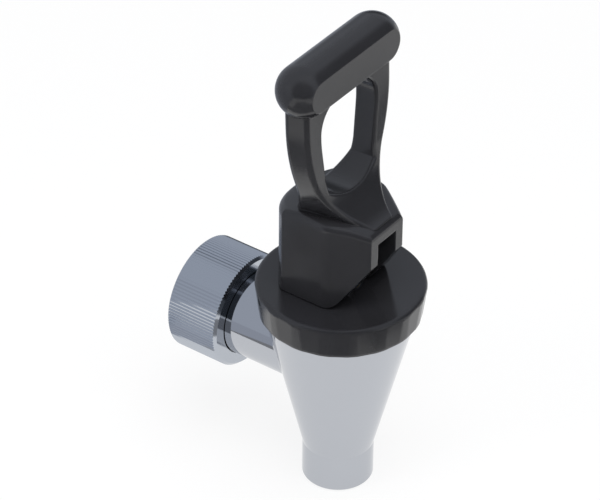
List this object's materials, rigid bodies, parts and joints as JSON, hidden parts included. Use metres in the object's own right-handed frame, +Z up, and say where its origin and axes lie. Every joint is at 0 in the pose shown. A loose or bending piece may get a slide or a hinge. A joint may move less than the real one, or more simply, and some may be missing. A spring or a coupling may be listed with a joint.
{
  "type": "drain tap",
  "caption": "Plated cone-bodied drain tap with a knurled union nut on its side inlet, a straight spout, a black screwed bonnet and a black loop lever that tilts to lift its stem.",
  "frame": {"origin": "centre of the spout's mouth", "axes": "+Z up along the spout, stem and bonnet; +Y out through the inlet and its union nut; the handle is pulled towards -Y; the grip lies along X"},
  "size_m": [0.043, 0.0648, 0.1309],
  "materials": {
    "plated_body": "polished and chrome-plated brass",
    "plated_nut": "straight-knurled and chrome-plated brass",
    "black_plastic": "glossy moulded plastic",
    "black_handle": "glossy moulded plastic",
    "stem_steel": "turned stainless steel",
    "spring_steel": "drawn stainless wire",
    "guide_brass": "turned",
    "cup_rubber": "moulded silicone",
    "gasket_rubber": "flat sheet rubber"
  },
  "bodies": {
    "tap": {"valve_body": "plated_body", "bonnet": "black_plastic", "stem_guide": "guide_brass", "seat_cup": "cup_rubber", "spring": "spring_steel", "retaining_ring": "spring_steel", "inlet_gasket": "gasket_rubber"},
    "nut": {"union_nut": "plated_nut"},
    "stem": {"stem": "stem_steel", "spring_washer": "stem_steel"},
    "handle": {"handle": "black_handle", "handle_pin": "stem_steel"}
  },
  "joints": [
    {"name": "stem_lift", "type": "slide", "parent": "tap", "child": "stem", "axis": [0, 0, 1], "range_m": [0, 0.00301], "stiffness_N_per_m": 1600, "springref_m": -0.0054, "deforming": ["spring", "seat_cup"]},
    {"name": "handle_tilt", "type": "hinge", "parent": "stem", "child": "handle", "pos_m": [0, 0, 0.0641], "axis": [1, 0, 0], "range_deg": [0, 50]},
    {"name": "nut_spin", "type": "hinge", "parent": "tap", "child": "nut", "pos_m": [0, 0.0357, 0.0383], "axis": [0, 1, 0], "continuous": true}
  ],
  "couplings": [
    {"joint": "handle_tilt", "follows": "stem_lift", "rad_per_m": 289.86}
  ]
}
